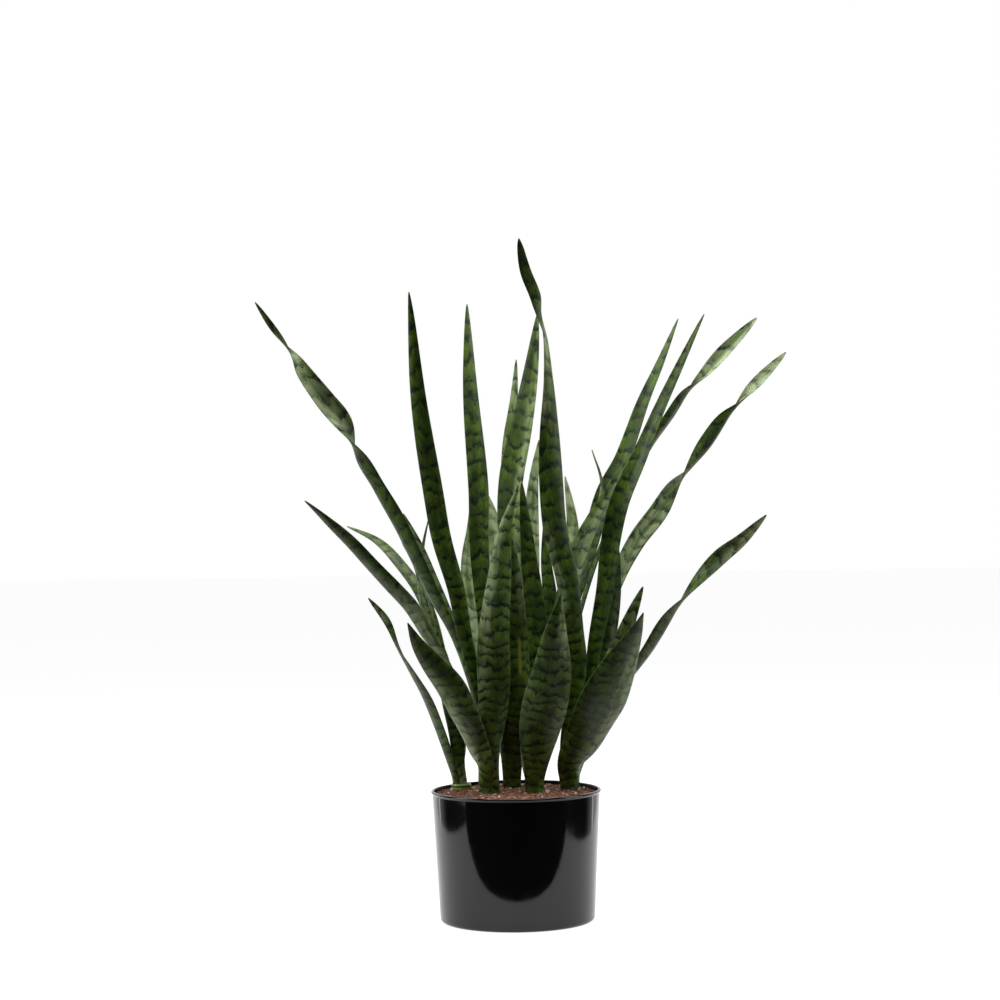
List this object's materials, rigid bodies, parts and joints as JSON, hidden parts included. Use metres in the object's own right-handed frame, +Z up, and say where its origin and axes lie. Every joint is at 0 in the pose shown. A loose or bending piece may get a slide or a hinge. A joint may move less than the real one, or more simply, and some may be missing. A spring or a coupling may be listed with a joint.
{
  "type": "potted snake plant",
  "caption": "Potted snake plant: upright and arching sword-shaped leaves with dark wavy cross bands, growing in tight shoots from a plain round gloss black pot.",
  "frame": {"origin": "centre of the flat underside of the pot", "axes": "+Z up along the pot's axis, +X to the right as the plant's broad side is seen, and -Y towards the viewer of that side"},
  "size_m": [0.8068, 0.4075, 1.0053],
  "materials": {
    "gloss_black_plastic": "polished moulded plastic, near black",
    "potting_mix": "coarse brown bark and peat with white perlite grains",
    "rhizome": "smooth pale orange-brown underground stem",
    "leaf_sheath": "glossy pale green leaf sheath",
    "leaf_green": "waxy dark green leaf with darker wavy cross bands and a silvery bloom"
  },
  "bodies": {
    "root": {"pot": "gloss_black_plastic", "potting_mix": "potting_mix", "rhizome": "rhizome", "sheath_left": "leaf_sheath", "leaf_left_1": "leaf_green", "leaf_left_2": "leaf_green", "leaf_left_3": "leaf_green", "leaf_left_4": "leaf_green", "leaf_centre_left_1": "leaf_green", "leaf_centre_left_2": "leaf_green", "leaf_centre_left_3": "leaf_green", "leaf_centre_left_4": "leaf_green", "leaf_centre_left_5": "leaf_green", "leaf_centre_left_6": "leaf_green", "leaf_back_left_1": "leaf_green", "leaf_back_left_2": "leaf_green", "leaf_back_left_3": "leaf_green", "leaf_back_left_4": "leaf_green", "leaf_back_left_5": "leaf_green", "leaf_centre_right_1": "leaf_green", "leaf_centre_right_2": "leaf_green", "leaf_centre_right_3": "leaf_green", "leaf_centre_right_4": "leaf_green", "leaf_centre_right_5": "leaf_green", "leaf_right_1": "leaf_green", "leaf_right_2": "leaf_green", "leaf_right_3": "leaf_green", "leaf_right_4": "leaf_green", "leaf_right_5": "leaf_green", "leaf_right_6": "leaf_green", "leaf_right_7": "leaf_green", "leaf_back_right_1": "leaf_green", "leaf_back_right_2": "leaf_green", "leaf_back_right_3": "leaf_green", "leaf_back_right_4": "leaf_green", "leaf_back_right_5": "leaf_green"}
  },
  "joints": []
}
